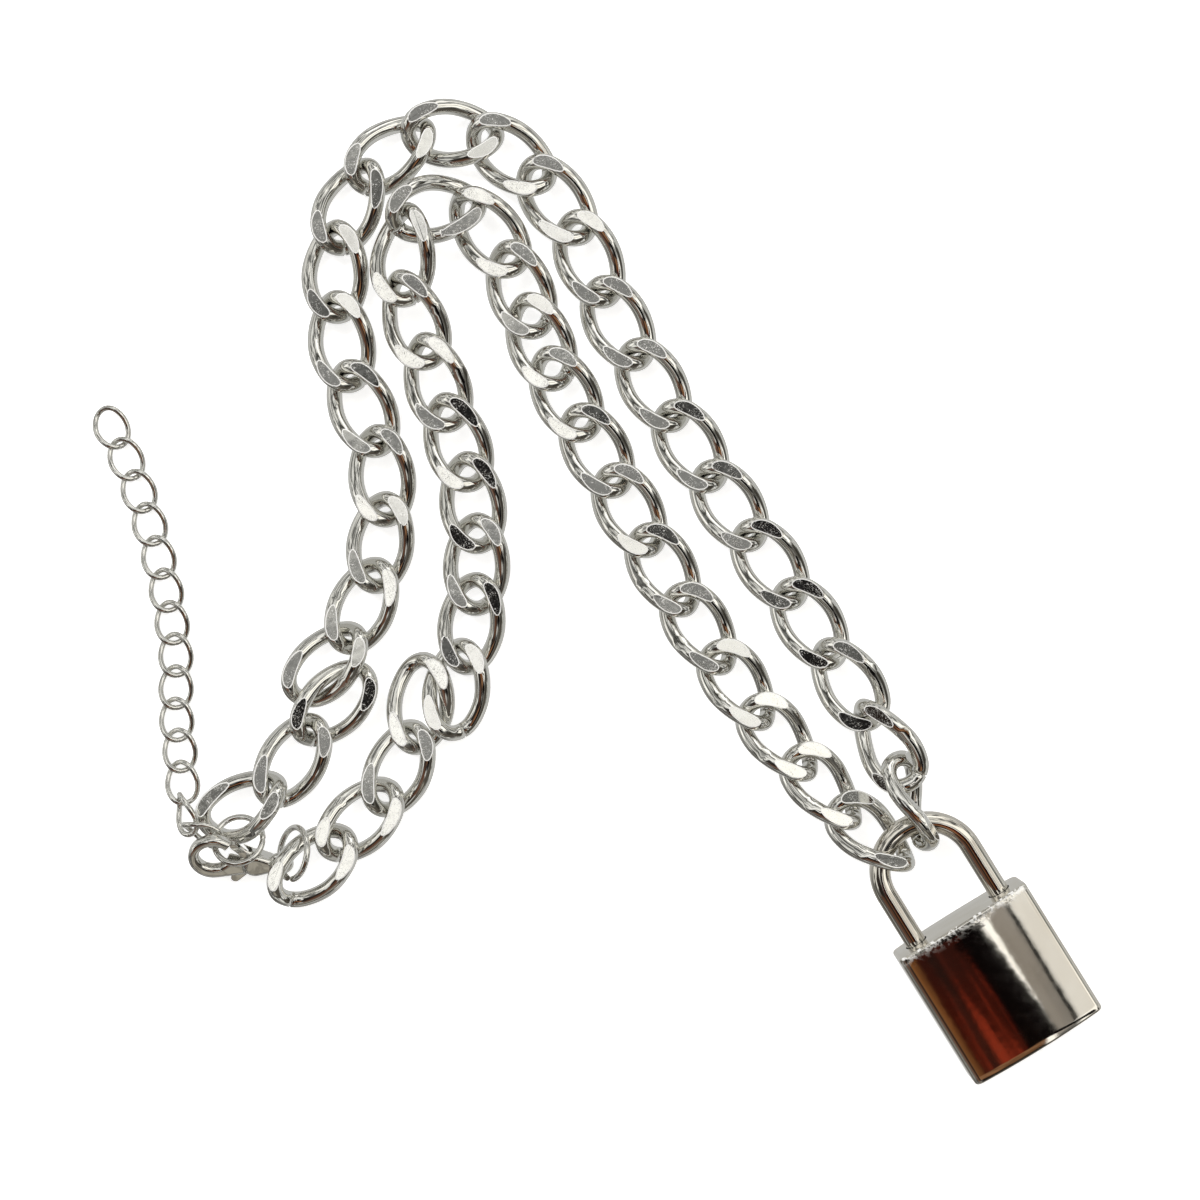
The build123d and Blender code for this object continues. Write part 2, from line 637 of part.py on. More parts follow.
# Each where it lies: the padlock is laid on its back with its bow where the last links pass it
bow_frame = turn_of(BOW_PLACE)
upwards = tuple(bow_frame[:, 1])
padlock_foot = bow_middle - (BODY_HEIGHT + SHACKLE_RISE) * bow_frame[:, 1]
padlock_place = Location(Plane(origin=tuple(padlock_foot), x_dir=tuple(bow_frame[:, 0]), z_dir=upwards))
clasp_place = location_of(spot_of(CLASP_PLACE), turn_of(CLASP_PLACE))
pieces = {
    "curb_chain_outer": [curb_link.moved(location_of(link.place, link.frame)) for link in outer_links],
    "curb_chain_inner": [curb_link.moved(location_of(link.place, link.frame)) for link in inner_links],
    "extender_chain": [fine_link.moved(location_of(link.place, link.frame)) for link in fine_links],
    "jump_ring_extender": [ring_shape.moved(location_of(ring.place, ring.frame))],
    "jump_ring_clasp": [open_ring_shape.moved(location_of(open_ring.place, open_ring.frame))],
    "clasp_body": [clasp_body().moved(clasp_place)],
    "clasp_lever": [clasp_lever().moved(clasp_place)],
    "padlock_body": [padlock_body().moved(padlock_place)],
    "padlock_shackle": [shackle().moved(padlock_place)],
}

# The origin is below the middle of the whole necklace, on the surface that it lies on
boxes = [solid.bounding_box() for solids in pieces.values() for solid in solids]
middle_x = (min(box.min.X for box in boxes) + max(box.max.X for box in boxes)) / 2
middle_y = (min(box.min.Y for box in boxes) + max(box.max.Y for box in boxes)) / 2
origin_shift = Pos(-middle_x, -middle_y, -min(box.min.Z for box in boxes))
for name, solids in pieces.items():
    moved = [solid.moved(origin_shift) for solid in solids]
    shape = moved[0] if len(moved) == 1 else Compound(children=moved)
    shape.label = name
    export_step(shape, f"parts/{name}.step")
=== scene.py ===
"""Looks of a curb-chain necklace that lies folded on a pale surface, with a padlock on its end links."""

import json
import logging
import math
import random
from collections.abc import Callable, Sequence
from dataclasses import dataclass
from enum import Enum
from typing import Any

import bmesh
import bpy
import numpy as np
from bmesh.types import BMesh
from bpy.types import Collection, Material, Mesh, Object
from mathutils import Matrix, Vector
from numpy import ndarray

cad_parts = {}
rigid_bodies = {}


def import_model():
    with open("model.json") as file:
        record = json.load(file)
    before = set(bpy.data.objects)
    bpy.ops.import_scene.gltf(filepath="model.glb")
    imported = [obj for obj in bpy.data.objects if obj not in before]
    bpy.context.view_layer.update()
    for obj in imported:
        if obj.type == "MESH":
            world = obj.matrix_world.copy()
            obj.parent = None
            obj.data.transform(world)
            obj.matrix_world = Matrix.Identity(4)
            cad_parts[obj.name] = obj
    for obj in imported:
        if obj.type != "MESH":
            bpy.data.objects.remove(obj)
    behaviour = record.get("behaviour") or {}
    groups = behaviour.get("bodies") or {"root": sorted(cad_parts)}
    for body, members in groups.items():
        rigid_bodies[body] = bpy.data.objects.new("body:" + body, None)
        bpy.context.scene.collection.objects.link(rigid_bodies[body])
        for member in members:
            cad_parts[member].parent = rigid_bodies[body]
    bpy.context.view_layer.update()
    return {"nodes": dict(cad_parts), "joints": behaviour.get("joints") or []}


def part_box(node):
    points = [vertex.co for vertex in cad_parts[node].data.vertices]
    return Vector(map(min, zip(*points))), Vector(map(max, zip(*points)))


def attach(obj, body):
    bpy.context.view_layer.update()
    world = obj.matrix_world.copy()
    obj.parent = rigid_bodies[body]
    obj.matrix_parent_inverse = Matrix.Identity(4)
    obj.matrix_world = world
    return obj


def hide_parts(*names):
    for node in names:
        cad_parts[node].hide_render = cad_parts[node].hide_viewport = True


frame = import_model()

log = logging.getLogger("necklace")

Pair = tuple[float, float]
Triple = tuple[float, float, float]
Spot = tuple[Vector, Matrix]

MM = 0.001
NECKLACE = "necklace"
PADLOCK = "padlock"
LEVER = "lever"
FLAT_MARK = "cut_flat"
# Faces round the flats, which carry a painted highlight
RIM_HIGHLIGHT_MARK = "cut_rim"
# Band along the case's top edge: worn plating and a painted highlight
WEAR_AND_HIGHLIGHT_MARK = "edge_wear"
TURN_MARK = "link_turn"
KIND_MARK = "link_kind"

# The photograph's own scale, and where the middle of its picture lies in the frame
PHOTO_SIDE_PX = 1200
PHOTO_PX_PER_MM = 7.4
PHOTO_MIDDLE_MM = (1.2, -1.65)
CAMERA_HEIGHT_MM = 250.0


class Tone(Enum):
    """How a cut flat looks in the photograph."""

    DARK = "D"
    GREY = "G"
    SILVER = "S"
    BRIGHT = "B"


# Where the surroundings have each tone: slopes to the east and north of straight up
DARK_SPOT = Vector((-0.014, -0.044))
GREY_REACH = 0.11
PANELS = {
    Tone.SILVER: ((0.02, 0.17), (-0.17, 0.13), (0.2, 0.08)),
    Tone.BRIGHT: ((0.0, 0.36), (-0.27, 0.24), (0.23, 0.24), (-0.33, -0.1)),
}
LEAST_RISE = 0.2
HORIZON = 0.02

# Direction up the padlock's face in radians from X, and where slanted cards cross their own middle
UP_THE_PADLOCK = 2.126
SLANT_FROM = 0.3

# Points of one arc of a link, and the angle in degrees above which a wire's edge is sharp
ARC_STEPS = 60
SHARP_END = 50.0

# How the upper flats of each link look in the photograph, lower end first, from the padlock on
OUTER_TONES = "GG SS DG DD GD SG SG SS SS SB BS BS BS SB SG GB SB SG BS SB SB SS DD SS BB"
INNER_TONES = "BG GS GB SD GD SG BS SG BS BB SS BB SS BS BS SB BD DD SS GD BB BB SS BB BB"


def joining(operation: str, flipped: bool = False) -> Callable[["Signal", "Signal | float"], "Signal"]:
    """Make a method of Signal that adds a Math node.

    Args:
        operation: What the node does with the signal and the other value.
        flipped: Whether the other value comes first.

    Returns:
        The method.
    """
    def method(self: "Signal", other: "Signal | float") -> "Signal":
        """Return what the Math node makes of both."""
        values = (other, self) if flipped else (self, other)
        return self.graph.node("ShaderNodeMath", {"operation": operation}, dict(enumerate(values)))

    return method


class Signal:
    """A node's output that takes part in Python expressions; each operator adds a Math node."""

    __add__ = joining("ADD")
    __radd__ = joining("ADD", flipped=True)
    __sub__ = joining("SUBTRACT")
    __rsub__ = joining("SUBTRACT", flipped=True)
    __mul__ = joining("MULTIPLY")
    __rmul__ = joining("MULTIPLY", flipped=True)
    __truediv__ = joining("DIVIDE")
    __rtruediv__ = joining("DIVIDE", flipped=True)
    most = joining("MAXIMUM")
    least = joining("MINIMUM")

    def __init__(self, graph: "Graph", socket: bpy.types.NodeSocket) -> None:
        """Keep the graph that new Math nodes go into, and the output socket."""
        self.graph = graph
        self.socket = socket

    def out(self, name: str) -> "Signal":
        """Return another output of the same node."""
        return Signal(self.graph, self.socket.node.outputs[name])

    def above(self, edge: float, soft: float) -> "Signal":
        """Return a smooth step from 0 to 1.

        Args:
            edge: Where the step is half way.
            soft: How wide the step is.

        Returns:
            0 well below the edge and 1 well above it.
        """
        settings = {"interpolation_type": "SMOOTHSTEP"}
        inputs = {"Value": self, "From Min": edge - soft / 2, "From Max": edge + soft / 2}
        return self.graph.node("ShaderNodeMapRange", settings, inputs)

    def within(self, low: float, high: float, soft: float) -> "Signal":
        """Return 1 between two edges and 0 outside them, with soft edges."""
        return self.above(low, soft) * (1.0 - self.above(high, soft))


class Graph:
    """A node tree that is filled through one method."""

    def __init__(self, tree: bpy.types.NodeTree) -> None:
        """Empty the tree and keep it."""
        tree.nodes.clear()
        self.tree = tree

    def node(self, kind: str, settings: dict | None = None, inputs: dict | None = None) -> Signal:
        """Add a node.

        Args:
            kind: The node's type.
            settings: Its properties, set first.
            inputs: Values or signals for its sockets, by name or number.

        Returns:
            Its first output that is in use.
        """
        node = self.tree.nodes.new(kind)
        for name, setting in (settings or {}).items():
            setattr(node, name, setting)
        for name, given in (inputs or {}).items():
            socket = self._socket(node, name)
            if isinstance(given, Signal):
                self.tree.links.new(given.socket, socket)
            else:
                socket.default_value = given
        return Signal(self, next((socket for socket in node.outputs if socket.enabled), None))

    @staticmethod
    def _socket(node: bpy.types.Node, name: str | int) -> bpy.types.NodeSocket:
        """Return the input of that name or number that is in use."""
        inputs = enumerate(node.inputs)
        return next(socket for i, socket in inputs if name == i or name == socket.name and socket.enabled)

    def mix(self, amount: Signal | float, low: Any, high: Any) -> Signal:
        """Mix two colours.

        Args:
            amount: How much of the second colour shows.
            low: The first colour, a tuple or a signal.
            high: The second colour, a tuple or a signal.

        Returns:
            The mixed colour.
        """
        low, high = [(*c, 1.0) if isinstance(c, tuple) else c for c in (low, high)]
        inputs = {"Factor": amount, "A": low, "B": high}
        return self.node("ShaderNodeMix", {"data_type": "RGBA"}, inputs)

    def bump(self, height: Signal, strength: float, depth: float, below: Signal | None = None) -> Signal:
        """Raise a relief from the surface.

        Args:
            height: The relief, from 0 to 1.
            strength: How much of it shows.
            depth: Its depth in millimetres.
            below: The normal that it is laid on, where that isn't the surface's own.

        Returns:
            The new normal.
        """
        inputs = {"Strength": strength, "Distance": depth * MM, "Height": height}
        inputs |= {"Normal": below} if below else {}
        return self.node("ShaderNodeBump", None, inputs)

    def mark(self, name: str) -> Signal:
        """Return the mesh attribute of that name."""
        return self.node("ShaderNodeAttribute", {"attribute_name": name}).out("Fac")


@dataclass(frozen=True)
class Grain:
    """A noise pattern in waves per metre, and how its spots are cut out of it.

    Stretched grains are longer than wide, as polishing leaves them, along an angle from X.
    """

    scale: float
    detail: float = 2.0
    edge: float = 0.5
    soft: float = 0.1
    stretch: float = 0.0
    way: float = 0.9

    def field(self, place: Signal) -> Signal:
        """Lay the noise.

        Args:
            place: Where on the object or in the surroundings.

        Returns:
            The noise there, from 0 to 1.
        """
        graph = place.graph
        if self.stretch:
            turned = {"Vector": place, "Rotation": (0.0, 0.0, self.way), "Scale": (self.stretch, 1.0, 1.0)}
            place = graph.node("ShaderNodeMapping", {"vector_type": "TEXTURE"}, turned)
        inputs = {"Vector": place, "Scale": self.scale, "Detail": self.detail}
        return graph.node("ShaderNodeTexNoise", None, inputs).out("Fac")

    def spots(self, place: Signal) -> Signal:
        """Return 1 on the pattern's spots and 0 between them."""
        return self.field(place).above(self.edge, self.soft)


TARNISH = Grain(160.0)
SMEARS = Grain(900.0, 3.0, edge=0.55, soft=0.3)
BRUSHING = Grain(5000.0, stretch=14.0, way=UP_THE_PADLOCK)
ORANGE_PEEL = Grain(2200.0, 1.0)
GRIT = Grain(1600.0, edge=0.53, soft=0.12)
SCRATCHES = Grain(12000.0, edge=0.64, stretch=9.0)
GRAINS = Grain(7000.0, 3.0, edge=0.62)
CLOUDS = Grain(700.0, edge=0.52, soft=0.3)
DUST = Grain(4400.0, 3.0, edge=0.62, soft=0.08)
# Pale colour of dust and worn plating, and of the painted highlights on the flats' rims and the case's edge
PALE_MARKS_AND_HIGHLIGHT = (0.97, 0.965, 0.95)
RIPPLE_DEPTH = 0.3


@dataclass
class Coat:
    """The values that the layers of a finish have built up."""

    colour: Signal
    rough: Signal
    normal: Signal
    metallic: Signal | float = 1.0

    def lay_pale_marks_and_highlight(self, pale: Signal, dullness: float) -> None:
        """Where a mask is 1, paint a pale, duller surface: dust, worn plating and painted highlights."""
        self.colour = pale.graph.mix(pale, self.colour, PALE_MARKS_AND_HIGHLIGHT)
        self.metallic = 1.0 - dullness * pale


@dataclass(frozen=True)
class PolishedMetal:
    """Silver-coloured plating: how bright and smooth it is, and what polishing left on it."""

    name: str
    colour: Triple = (0.815, 0.81, 0.78)
    tint: Triple = (0.73, 0.72, 0.68)
    roughness: float = 0.085
    patches: float = 0.05
    ripple: float = 0.035
    ripple_scale: float = 600.0
    worn: float = 0.0
    brushed: float = 0.0

    def make(self) -> Material:
        """Build the material.

        Returns:
            The metal with all its layers.
        """
        material = bpy.data.materials.new(self.name)
        material.use_nodes = True
        graph = Graph(material.node_tree)
        place = graph.node("ShaderNodeTexCoord").out("Object")
        tarnish = TARNISH.field(place).within(0.42, 0.9, soft=0.3) * 0.5
        height = Grain(self.ripple_scale, 1.0).field(place)
        if self.brushed:
            height = height + BRUSHING.field(place) * self.brushed + ORANGE_PEEL.field(place) * 0.08
        rough = self.roughness + self.patches * SMEARS.spots(place)
        normal = graph.bump(height, self.ripple, RIPPLE_DEPTH)
        coat = Coat(graph.mix(tarnish, self.colour, self.tint), rough, normal)
        if self.brushed:
            self._wear_and_highlight_edges(place, coat)
        if self.worn:
            self._mark_flats(place, coat)
        values = {"Base Color": coat.colour, "Metallic": coat.metallic}
        values |= {"Roughness": coat.rough, "Normal": coat.normal}
        shader = graph.node("ShaderNodeBsdfPrincipled", None, values)
        graph.node("ShaderNodeOutputMaterial", None, {"Surface": shader})
        return material

    def _wear_and_highlight_edges(self, place: Signal, coat: Coat) -> None:
        """Crumble the plating where the mesh is marked along the edge, with pale specks that are partly
        worn plating and partly a painted highlight.

        Args:
            place: The place on the object.
            coat: The layers so far.
        """
        graph = place.graph
        wear_and_highlight = graph.mark(WEAR_AND_HIGHLIGHT_MARK)
        grit = GRIT.field(place)
        # Pale, dull specks: partly worn plating, partly a painted highlight along the top edge
        coat.lay_pale_marks_and_highlight(wear_and_highlight * grit.above(GRIT.edge, GRIT.soft), dullness=0.7)
        coat.rough = coat.rough + wear_and_highlight * 0.1
        coat.normal = graph.bump(wear_and_highlight * grit, strength=0.15, depth=0.25, below=coat.normal)

    def _mark_flats(self, place: Signal, coat: Coat) -> None:
        """Scratch and dust the planed flats, and paint their rims pale as a highlight.

        Args:
            place: The place on the object.
            coat: The layers so far.
        """
        graph = place.graph
        flat, rim_highlight = graph.mark(FLAT_MARK), graph.mark(RIM_HIGHLIGHT_MARK)
        cloud = CLOUDS.spots(place)
        marks = (GRAINS.spots(place) * (0.2 + cloud) + SCRATCHES.spots(place) * 0.3).least(1.0)
        dust = flat * DUST.spots(place) * (0.25 + 0.75 * cloud)
        # The rims are painted pale and dull as a highlight, and the dust as pale specks
        coat.lay_pale_marks_and_highlight(rim_highlight.most(dust * 0.95), dullness=0.8)
        gloss = coat.rough * (1.0 - flat * 0.5)
        coat.rough = gloss + flat * (0.05 * cloud + self.worn * marks) + rim_highlight * 0.3
        coat.normal = graph.bump(flat * marks, strength=0.02, depth=0.02, below=coat.normal)


WHITE = (1.0, 1.0, 1.0, 1.0)
DARK = (0.03, 0.028, 0.022)
BLACK = (0.003, 0.002, 0.002)


@dataclass(frozen=True)
class Card:
    """A coloured patch of the surroundings, by slopes across and along the padlock from straight up."""

    across: Pair
    along: Pair
    colour: Triple
    soft: float = 0.05
    amount: float = 1.0
    streaks: float = 0.0
    slant: float = 0.0


@dataclass(frozen=True)
class Studio:
    """The pale floor, the soft light all round it, and the camera."""

    floor_radius: float = 2500 * MM
    floor_colour: Triple = (0.93, 0.93, 0.925)
    floor_glow: float = 0.72
    floor_sides: int = 96
    lamp_place: Triple = (-260.0, 330.0, 420.0)
    lamp_side: float = 260.0
    lamp_watts: float = 2.2
    sensor_mm: float = 36.0
    seen_mm: Pair = (5.0, 10000.0)
    wobble: Grain = Grain(5.0, 3.0)
    wobble_reach: float = 0.07
    mottle: Grain = Grain(5.5, 3.0, soft=0.14)
    stripes: Grain = Grain(11.0, 3.0, soft=0.16)
    walls: Triple = (0.53, 0.526, 0.50)
    wall_shares: Pair = (0.3, 1.75)
    below: Triple = (0.56, 0.56, 0.545)
    below_left: Triple = (0.1, 0.095, 0.085)
    low_way: Pair = (0.6, 0.8)
    low_edge: Pair = (-0.7, 0.5)
    wall_foot: Pair = (-0.1, 0.3)
    card_foot: Pair = (HORIZON, 0.04)
    across_way: Pair = (0.85, 0.527)
    cards: tuple[Card, ...] = (
        Card((-2.5, 2.5), (-9.0, -1.0), (0.09, 0.08, 0.066), soft=0.9),
        Card((0.45, 1.9), (-2.2, -0.95), DARK, soft=0.12, streaks=0.5),
        Card((0.37, 1.8), (-0.8, 0.15), (1.4, 1.37, 1.28), soft=0.06),
        Card((1.0, 3.4), (0.9, 2.6), (1.5, 1.48, 1.42), soft=0.3),
        Card((-3.2, -1.2), (0.9, 2.4), (1.4, 1.38, 1.32), soft=0.3, streaks=0.4),
        Card((-0.32, 0.09), (0.24, 0.50), (1.14, 1.13, 1.1), streaks=0.35),
        Card((0.09, 0.42), (0.23, 0.85), (1.18, 1.17, 1.13), soft=0.06, streaks=0.35),
        Card((0.25, 0.42), (-0.08, 0.25), (1.1, 1.09, 1.05)),
        Card((-2.1, -0.9), (-3.2, -1.5), (0.42, 0.39, 0.33), soft=0.3, streaks=0.5),
        Card((2.2, 3.0), (-2.5, 1.5), DARK, soft=0.15, streaks=0.4),
        Card((-2.0, 2.0), (0.95, 1.1), DARK, streaks=0.6),
        Card((-40.0, -2.4), (-9.0, 1.2), (0.05, 0.045, 0.04), soft=0.6, amount=0.85),
        Card((-1.4, -0.36), (-0.75, 0.3), (0.018, 0.012, 0.009), soft=0.12, amount=0.97),
        Card((-2.6, -0.8), (-1.1, -0.24), (0.13, 0.06, 0.035), soft=0.12, amount=0.9),
        Card((-0.42, -0.27), (-0.02, 0.2), (1.25, 1.24, 1.2)),
        Card((-0.36, 0.165), (-1.1, -0.12), BLACK, soft=0.04),
        Card((-0.27, 0.235), (-0.2, 0.215), (0.22, 0.22, 0.215), soft=0.04, amount=0.92),
        Card((-0.2, 0.12), (-0.2, 0.09), (0.13, 0.13, 0.125), soft=0.04),
        Card((-0.12, 0.06), (-0.16, 0.06), (0.012, 0.011, 0.011), soft=0.04),
        Card((-0.33, 0.0), (-0.42, -0.15), (0.29, 0.034, 0.014), streaks=0.85),
        Card((-0.205, -0.15), (-0.36, -0.15), (0.02, 0.008, 0.006), soft=0.035, amount=0.9),
        Card((-0.31, 0.0), (-0.277, -0.2), (0.02, 0.01, 0.008), soft=0.03, streaks=0.5),
        Card((-0.44, -0.27), (-0.39, -0.24), (0.22, 0.09, 0.03), soft=0.04, streaks=0.25),
        Card((-0.5, 0.16), (-0.6, -0.36), (0.28, 0.14, 0.07), streaks=0.4),
        Card((0.19, 0.33), (-0.6, -0.1), (0.33, 0.295, 0.255), soft=0.03, amount=0.9, streaks=0.3),
        Card((0.38, 1.5), (-0.42, -0.2), (0.62, 0.575, 0.51), soft=0.12, streaks=0.5),
        Card((0.36, 0.5), (-0.42, -0.2), (0.95, 0.92, 0.86), streaks=0.3),
        Card((0.13, 0.195), (-0.7, -0.12), (1.5, 1.47, 1.4), soft=0.02),
        Card((0.02, 0.172), (-0.7, -0.12), BLACK, soft=0.02, slant=1.2),
        Card((0.324, 0.35), (-0.42, -0.14), (0.0, 0.0, 0.0), soft=0.01),
    )

    def make_floor(self) -> None:
        """Lay a pale disc under the necklace."""
        shape = bmesh.new()
        bmesh.ops.create_circle(shape, cap_ends=True, segments=self.floor_sides, radius=self.floor_radius)
        floor = set_down("floor", plain_mesh("floor", shape))
        material = bpy.data.materials.new("pale_floor")
        material.use_nodes = True
        graph = Graph(material.node_tree)
        paint = {
            "Base Color": (*self.floor_colour, 1.0),
            "Roughness": 0.9,
            "Emission Color": WHITE,
            "Emission Strength": self.floor_glow,
        }
        shader = graph.node("ShaderNodeBsdfPrincipled", None, paint)
        graph.node("ShaderNodeOutputMaterial", None, {"Surface": shader})
        floor.data.materials.append(material)
        floor.visible_glossy = False

    def make_light(self) -> None:
        """Build the soft surroundings: mottled grey walls with bright, dark and brown cards on them."""
        world = bpy.data.worlds.new("studio")
        bpy.context.scene.world = world
        world.use_nodes = True
        graph = Graph(world.node_tree)
        ray = graph.node("ShaderNodeTexCoord").out("Generated")
        parts = graph.node("ShaderNodeSeparateXYZ", None, {0: ray})
        x, y, z = parts.out("X"), parts.out("Y"), parts.out("Z")
        height = z.most(HORIZON)
        east, north = x / height, y / height
        wobble = (self.wobble.field(ray) - 0.5) * self.wobble_reach
        across = east * self.across_way[0] + north * self.across_way[1] + wobble
        along = north * self.across_way[0] - east * self.across_way[1] + wobble
        dim, lit = [tuple(share * c for c in self.walls) for share in self.wall_shares]
        walls = graph.mix(self.mottle.spots(ray), dim, lit)
        side = x * self.low_way[0] + y * self.low_way[1]
        low = graph.mix(side.above(*self.low_edge), self.below_left, self.below)
        colour = graph.mix(z.above(*self.wall_foot), low, walls)
        stripes = self.stripes.spots(ray)
        for card in self.cards:
            side = across + (along + SLANT_FROM) * card.slant if card.slant else across
            cover = side.within(*card.across, card.soft) * along.within(*card.along, card.soft)
            cover = cover * card.amount * (1.0 - card.streaks * (1.0 - stripes))
            cover = cover * z.above(*self.card_foot)
            colour = graph.mix(cover, colour, card.colour)
        glow, seen = [graph.node("ShaderNodeBackground", None, {"Color": c}) for c in (colour, WHITE)]
        direct = graph.node("ShaderNodeLightPath").out("Is Camera Ray")
        both = graph.node("ShaderNodeMixShader", None, {0: direct, 1: glow, 2: seen})
        graph.node("ShaderNodeOutputWorld", None, {"Surface": both})

    def make_lamp(self) -> None:
        """Hang one soft lamp that points at the middle of the necklace."""
        lamp = bpy.data.lights.new("key", "AREA")
        lamp.energy = self.lamp_watts
        lamp.size = self.lamp_side * MM
        hung = set_down("key", lamp)
        hung.location = Vector(self.lamp_place) * MM
        hung.rotation_euler = (-hung.location).to_track_quat("-Z", "Y").to_euler()
        hung.visible_glossy = False

    def make_camera(self) -> None:
        """Put the camera straight above the middle of the photograph."""
        lens = bpy.data.cameras.new("camera")
        lens.sensor_width = self.sensor_mm
        field_mm = PHOTO_SIDE_PX / PHOTO_PX_PER_MM
        lens.lens = lens.sensor_width * CAMERA_HEIGHT_MM / field_mm
        lens.clip_start, lens.clip_end = [reach * MM for reach in self.seen_mm]
        camera = set_down("camera", lens)
        camera.location = Vector((*PHOTO_MIDDLE_MM, CAMERA_HEIGHT_MM)) * MM
        bpy.context.scene.camera = camera

    def make(self) -> None:
        """Set up all but the necklace."""
        self.make_floor()
        self.make_light()
        self.make_lamp()
        self.make_camera()
        bpy.context.scene.view_settings.view_transform = "Standard"


def arc_points(start: ndarray, way: ndarray, end: ndarray, count: int) -> ndarray:
    """Points of the arc that leaves one point along a direction and reaches another.

    Args:
        start: Where it starts.
        way: Unit direction in which it leaves.
        end: Where it ends.
        count: How many points, without the last.

    Returns:
        The points, one a row.
    """
    chord = end - start
    aside = chord - way * (chord @ way)
    aside /= np.linalg.norm(aside)
    radius = (chord @ chord) / (2 * (chord @ aside))
    angles = np.arange(count) / count * 2 * math.atan2(chord @ aside, chord @ way)
    return start + radius * (np.sin(angles)[:, None] * way + (1 - np.cos(angles))[:, None] * aside)


def closed_frames(line: ndarray) -> tuple[ndarray, ndarray]:
    """Two directions across a closed line at each of its points, turned as little as possible.

    Args:
        line: The line's points.

    Returns:
        The two directions at each point.
    """
    ways = np.roll(line, -1, 0) - np.roll(line, 1, 0)
    ways /= np.linalg.norm(ways, axis=1)[:, None]
    side = np.cross(ways[0], (0.0, 0.0, 1.0))
    sides = []
    for way in ways:
        side = side - way * (side @ way)
        side /= np.linalg.norm(side)
        sides.append(side)
    sides = np.array(sides)
    return sides, np.cross(sides, ways)


def smooth_faces(shape: BMesh, sharp: float) -> None:
    """Smooth every face, and keep open and steep edges sharp.

    Args:
        shape: The shape.
        sharp: The angle in degrees from which an edge stays sharp.
    """
    for face in shape.faces:
        face.smooth = True
    for edge in shape.edges:
        edge.smooth = len(edge.link_faces) != 2 or edge.calc_face_angle(0.0) < math.radians(sharp)


def join_rings(shape: BMesh, rings: list[list[bmesh.types.BMVert]]) -> None:
    """Skin a shape between rings of as many points each.

    Args:
        shape: The shape that holds the points.
        rings: The rings in order.
    """
    for here, there in zip(rings, rings[1:]):
        for k in range(len(here)):
            n = (k + 1) % len(here)
            shape.faces.new((here[k], here[n], there[n], there[k]))


def tube_mesh(line: ndarray, radii: ndarray, sides: int, closed: bool) -> BMesh:
    """A round wire along a line.

    Args:
        line: Points of its middle.
        radii: Its radius at each point.
        sides: How many sides its section has.
        closed: Whether it runs back into its start.

    Returns:
        The wire, smooth but for the ends of an open one.
    """
    if closed:
        across, over = closed_frames(line)
    else:
        ways = np.gradient(line, axis=0)
        ways /= np.linalg.norm(ways, axis=1)[:, None]
        normal = np.linalg.svd(line - line.mean(0))[2][2]
        across = np.repeat(normal[None], len(line), 0)
        over = np.cross(across, ways)
    shape = bmesh.new()
    angles = np.arange(sides) * 2 * math.pi / sides
    rings = []
    for middle, radius, a, b in zip(line, radii, across, over):
        points = middle + radius * (np.cos(angles)[:, None] * a + np.sin(angles)[:, None] * b)
        rings.append([shape.verts.new(point) for point in points])
    if closed:
        gaps = [(point.co - rings[-1][0].co).length for point in rings[0]]
        shift = int(np.argmin(gaps))
        rings.append(rings[0][shift:] + rings[0][:shift])
    else:
        shape.faces.new(rings[0][::-1])
        shape.faces.new(rings[-1])
    join_rings(shape, rings)
    bmesh.ops.recalc_face_normals(shape, faces=shape.faces)
    smooth_faces(shape, 180.0 if closed else SHARP_END)
    return shape


def plain_mesh(name: str, shape: BMesh, place: Matrix | None = None) -> Mesh:
    """Turn a working shape into a mesh, and free the shape.

    Args:
        name: The mesh's name.
        shape: The shape, in millimetres if it has a place and in metres if not.
        place: Where it goes in the frame.

    Returns:
        The mesh in metres.
    """
    if place is not None:
        shape.transform(place @ Matrix.Scale(MM, 4))
    mesh = bpy.data.meshes.new(name)
    shape.to_mesh(mesh)
    shape.free()
    return mesh


def set_down(name: str, data: bpy.types.ID) -> Object:
    """Make an object and link it to the scene.

    Args:
        name: The object's name.
        data: Its mesh, lamp or camera.

    Returns:
        The object.
    """
    thing = bpy.data.objects.new(name, data)
    bpy.context.scene.collection.objects.link(thing)
    return thing


def modified_mesh(thing: Object) -> Mesh:
    """Return what an object's modifiers make of its mesh."""
    return bpy.data.meshes.new_from_object(thing.evaluated_get(bpy.context.evaluated_depsgraph_get()))


def add_piece(name: str, mesh: Mesh, finish: Material, body: str, slot: str, node: str) -> None:
    """Put a finished mesh into the scene in place of a CAD node.

    Args:
        name: The piece's name.
        mesh: Its mesh, already in place.
        finish: Its material.
        body: The body that it rides.
        slot: The record's material slot; not used.
        node: The node that it stands for.
    """
    mesh.name = name
    mesh.materials.clear()
    mesh.materials.append(finish)
    piece = set_down(name, mesh)
    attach(piece, body)
    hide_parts(node)
    log.info("%s: %d triangles", name, sum(len(face.vertices) - 2 for face in mesh.polygons))


def welded(node: str) -> BMesh:
    """Join a copy of a CAD node's loose triangles.

    Args:
        node: The node's name.

    Returns:
        The working shape, in metres.
    """
    shape = bmesh.new()
    shape.from_mesh(frame["nodes"][node].data)
    bmesh.ops.remove_doubles(shape, verts=shape.verts, dist=0.0005 * MM)
    return shape


def loose_parts(shape: BMesh) -> list[ndarray]:
    """The triangles of each loose part of a mesh.

    Args:
        shape: A mesh of triangles.

    Returns:
        Each part's triangles, as arrays of corners.
    """
    parts = []
    left = set(shape.faces)
    while left:
        grown, part = [left.pop()], []
        while grown:
            face = grown.pop()
            part.append([corner.co[:] for corner in face.verts])
            beside = {other for edge in face.edges for other in edge.link_faces} & left
            left -= beside
            grown += beside
        parts.append(np.array(part))
    return parts


